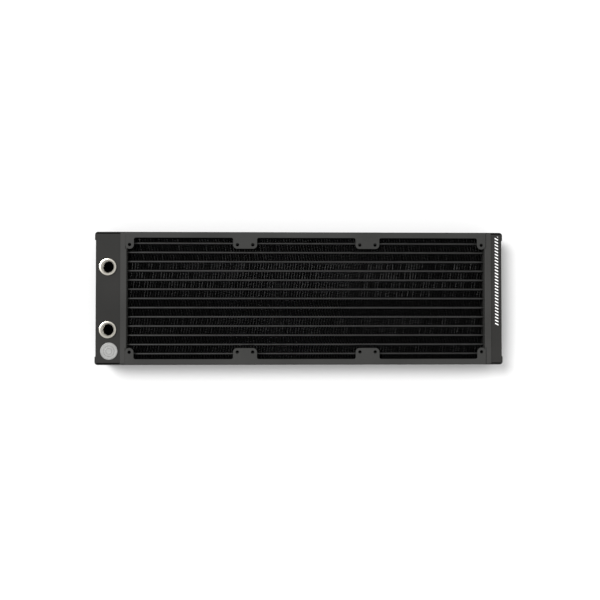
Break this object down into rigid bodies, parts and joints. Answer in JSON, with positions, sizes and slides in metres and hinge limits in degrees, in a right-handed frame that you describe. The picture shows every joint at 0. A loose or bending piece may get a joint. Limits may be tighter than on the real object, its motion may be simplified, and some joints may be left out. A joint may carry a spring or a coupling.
{
  "type": "liquid cooling radiator",
  "caption": "Flat liquid cooling radiator for a row of fans: finned tube core between two tanks, screw tabs on both faces, threaded ports at one end.",
  "frame": {"origin": "under the middle of the radiator, on the plane of the rear flanges", "axes": "+X along the tubes, from the port end to the return end; +Y to the upper long side; +Z out of the front face, which holds the ports"},
  "size_m": [0.4, 0.13, 0.0386],
  "materials": {
    "rail_paint": "satin",
    "tank_paint": "satin",
    "header_paint": "satin",
    "core_paint": "satin",
    "tube_paint": "satin",
    "fin_paint": "satin",
    "brass_inside": "satin",
    "nickel": "polished",
    "badge_metal": "satin"
  },
  "bodies": {
    "root": {"badge": "badge_metal", "core_side_plate_lower": "core_paint", "core_side_plate_upper": "core_paint", "fin_strip_01": "fin_paint", "fin_strip_02": "fin_paint", "fin_strip_03": "fin_paint", "fin_strip_04": "fin_paint", "fin_strip_05": "fin_paint", "fin_strip_06": "fin_paint", "fin_strip_07": "fin_paint", "fin_strip_08": "fin_paint", "fin_strip_09": "fin_paint", "fin_strip_10": "fin_paint", "fin_strip_11": "fin_paint", "fin_strip_12": "fin_paint", "fin_strip_13": "fin_paint", "fin_strip_14": "fin_paint", "port_boss_lower": "nickel", "port_boss_upper": "nickel", "port_header": "header_paint", "port_tank": "tank_paint", "return_header": "header_paint", "return_tank": "tank_paint", "side_rail_lower": "rail_paint", "side_rail_upper": "rail_paint", "tank_divider": "brass_inside", "tube_01": "tube_paint", "tube_02": "tube_paint", "tube_03": "tube_paint", "tube_04": "tube_paint", "tube_05": "tube_paint", "tube_06": "tube_paint", "tube_07": "tube_paint", "tube_08": "tube_paint", "tube_09": "tube_paint", "tube_10": "tube_paint", "tube_11": "tube_paint", "tube_12": "tube_paint", "tube_13": "tube_paint"}
  },
  "joints": []
}
